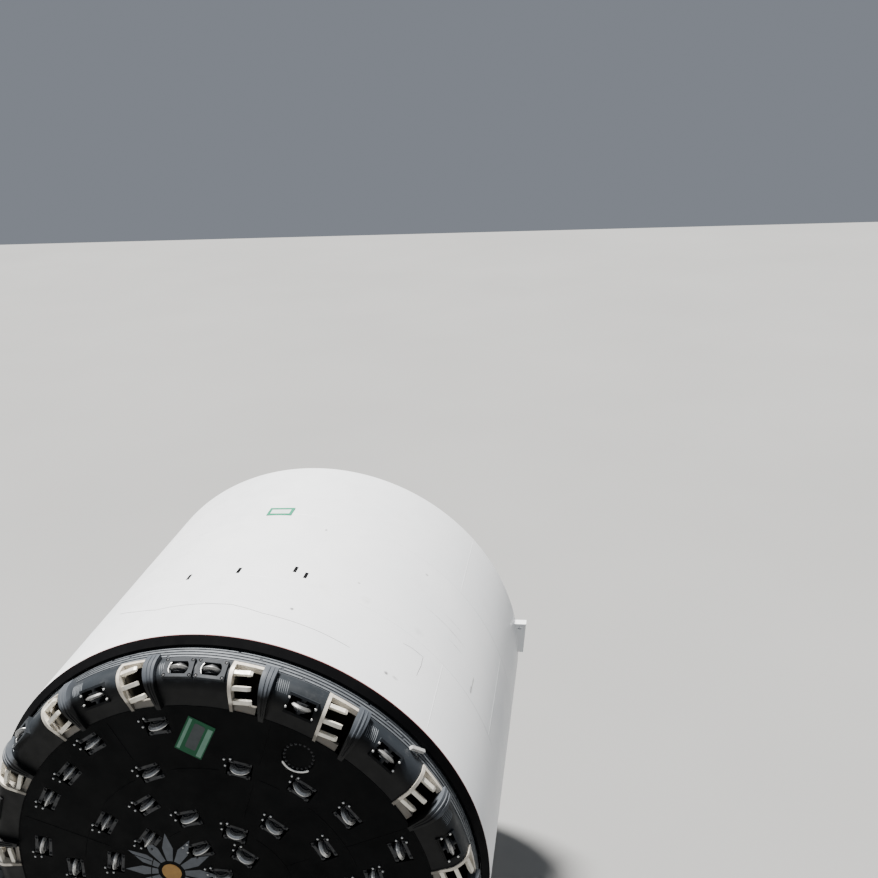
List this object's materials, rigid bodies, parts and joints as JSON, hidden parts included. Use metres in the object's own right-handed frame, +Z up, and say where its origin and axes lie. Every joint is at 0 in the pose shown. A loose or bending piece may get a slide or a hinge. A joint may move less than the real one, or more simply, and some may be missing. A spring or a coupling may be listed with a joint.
{
  "type": "tunnel boring machine cutterhead and shield",
  "caption": "Round rock-cutting head with disc cutters and buckets, turning in front of its cylindrical shield on a launch cradle.",
  "frame": {"origin": "on the ground under the middle of the machine's box", "axes": "bore axis along Y with the cutterhead towards -Y, +X to the right seen from the rock, +Z up"},
  "size_m": [12.76, 10.67, 12.67],
  "materials": {
    "face_paint": "black semi-gloss paint",
    "casting_paint": "dark blue-grey paint on smooth castings",
    "rim_paint": "dark grey paint",
    "wear_steel": "hard-faced grey steel",
    "bare_steel": "bare ground steel",
    "lip_steel": "bare cream-grey cast steel",
    "tooth_steel": "bare cream-white cast steel",
    "guard_paint": "grey paint on castings",
    "disc_steel": "bare hardened steel",
    "hub_steel": "dark cast steel",
    "sign_paint": "green sign plate with pale stripes, blank",
    "inner_paint": "dark primer",
    "frame_paint": "grey paint",
    "edge_paint": "matt black paint",
    "shield_paint": "white paint",
    "brush_wire": "packed steel wire",
    "inner_white": "off-white paint",
    "drive_paint": "grey paint",
    "motor_paint": "blue enamel",
    "cylinder_paint": "yellow enamel",
    "deck_steel": "galvanised chequer plate",
    "rail_paint": "yellow paint",
    "conveyor_paint": "blue paint",
    "belt_rubber": "black rubber belt",
    "roller_steel": "turned steel",
    "cradle_steel": "brown primer on rolled steel",
    "erector_paint": "yellow enamel",
    "head_paint": "red enamel",
    "rod_steel": "hard chrome",
    "shoe_paint": "red enamel"
  },
  "bodies": {
    "shield": {"cutting_edge": "edge_paint", "front_skin": "shield_paint", "middle_skin": "shield_paint", "tail_skin": "shield_paint", "tail_brushes": "brush_wire", "shield_sign": "sign_paint", "lifting_brackets": "shield_paint", "bulkhead": "inner_white", "main_drive": "drive_paint", "drive_motors": "motor_paint", "frame_rings": "inner_white", "cross_beams": "inner_white", "frame_posts": "inner_white", "thrust_barrels": "cylinder_paint", "work_decks": "deck_steel", "deck_rails": "rail_paint", "erector_beams": "inner_white", "conveyor_frame": "conveyor_paint", "conveyor_belt": "belt_rubber", "conveyor_rollers": "roller_steel", "cradle_rails": "cradle_steel", "cradle_frames": "cradle_steel", "cradle_beams": "cradle_steel"},
    "cutterhead": {"face_plate": "face_paint", "shoulder_castings": "casting_paint", "rim_ring": "rim_paint", "wear_strips": "wear_steel", "rim_lugs": "bare_steel", "bucket_lips": "lip_steel", "bucket_teeth": "tooth_steel", "bucket_guards": "guard_paint", "disc_rings": "disc_steel", "disc_hubs": "hub_steel", "cutter_saddles": "hub_steel", "cutter_boxes": "face_paint", "gauge_housings": "guard_paint", "gauge_rings": "disc_steel", "gauge_hubs": "hub_steel", "manhole_covers": "face_paint", "face_sign": "sign_paint", "muck_webs": "inner_paint", "back_plate": "inner_paint", "centre_drum": "inner_paint", "drive_flange": "frame_paint"},
    "thrust_top": {"thrust_rods_top": "rod_steel", "thrust_shoes_top": "shoe_paint"},
    "thrust_right": {"thrust_rods_right": "rod_steel", "thrust_shoes_right": "shoe_paint"},
    "thrust_bottom": {"thrust_rods_bottom": "rod_steel", "thrust_shoes_bottom": "shoe_paint"},
    "thrust_left": {"thrust_rods_left": "rod_steel", "thrust_shoes_left": "shoe_paint"},
    "erector_carriage_body": {"erector_carriage": "erector_paint"},
    "erector_rotor_body": {"erector_rotor": "erector_paint"},
    "erector_telescope": {"erector_arms": "rod_steel", "erector_head": "head_paint"}
  },
  "joints": [
    {"name": "cutterhead_spin", "type": "hinge", "parent": "shield", "child": "cutterhead", "pos_m": [0, -4.085, 6.55], "axis": [0, 1, 0], "continuous": true},
    {"name": "thrust_top_stroke", "type": "slide", "parent": "shield", "child": "thrust_top", "axis": [0, 1, 0], "range_m": [0, 2.3]},
    {"name": "thrust_right_stroke", "type": "slide", "parent": "shield", "child": "thrust_right", "axis": [0, 1, 0], "range_m": [0, 2.3]},
    {"name": "thrust_bottom_stroke", "type": "slide", "parent": "shield", "child": "thrust_bottom", "axis": [0, 1, 0], "range_m": [0, 2.3]},
    {"name": "thrust_left_stroke", "type": "slide", "parent": "shield", "child": "thrust_left", "axis": [0, 1, 0], "range_m": [0, 2.3]},
    {"name": "erector_travel", "type": "slide", "parent": "shield", "child": "erector_carriage_body", "axis": [0, 1, 0], "range_m": [0, 1.5]},
    {"name": "erector_turn", "type": "hinge", "parent": "erector_carriage_body", "child": "erector_rotor_body", "pos_m": [0, 2.015, 6.55], "axis": [0, 1, 0], "range_deg": [-200, 200]},
    {"name": "erector_reach", "type": "slide", "parent": "erector_rotor_body", "child": "erector_telescope", "axis": [0, 0, -1], "range_m": [0, 1.1]}
  ]
}
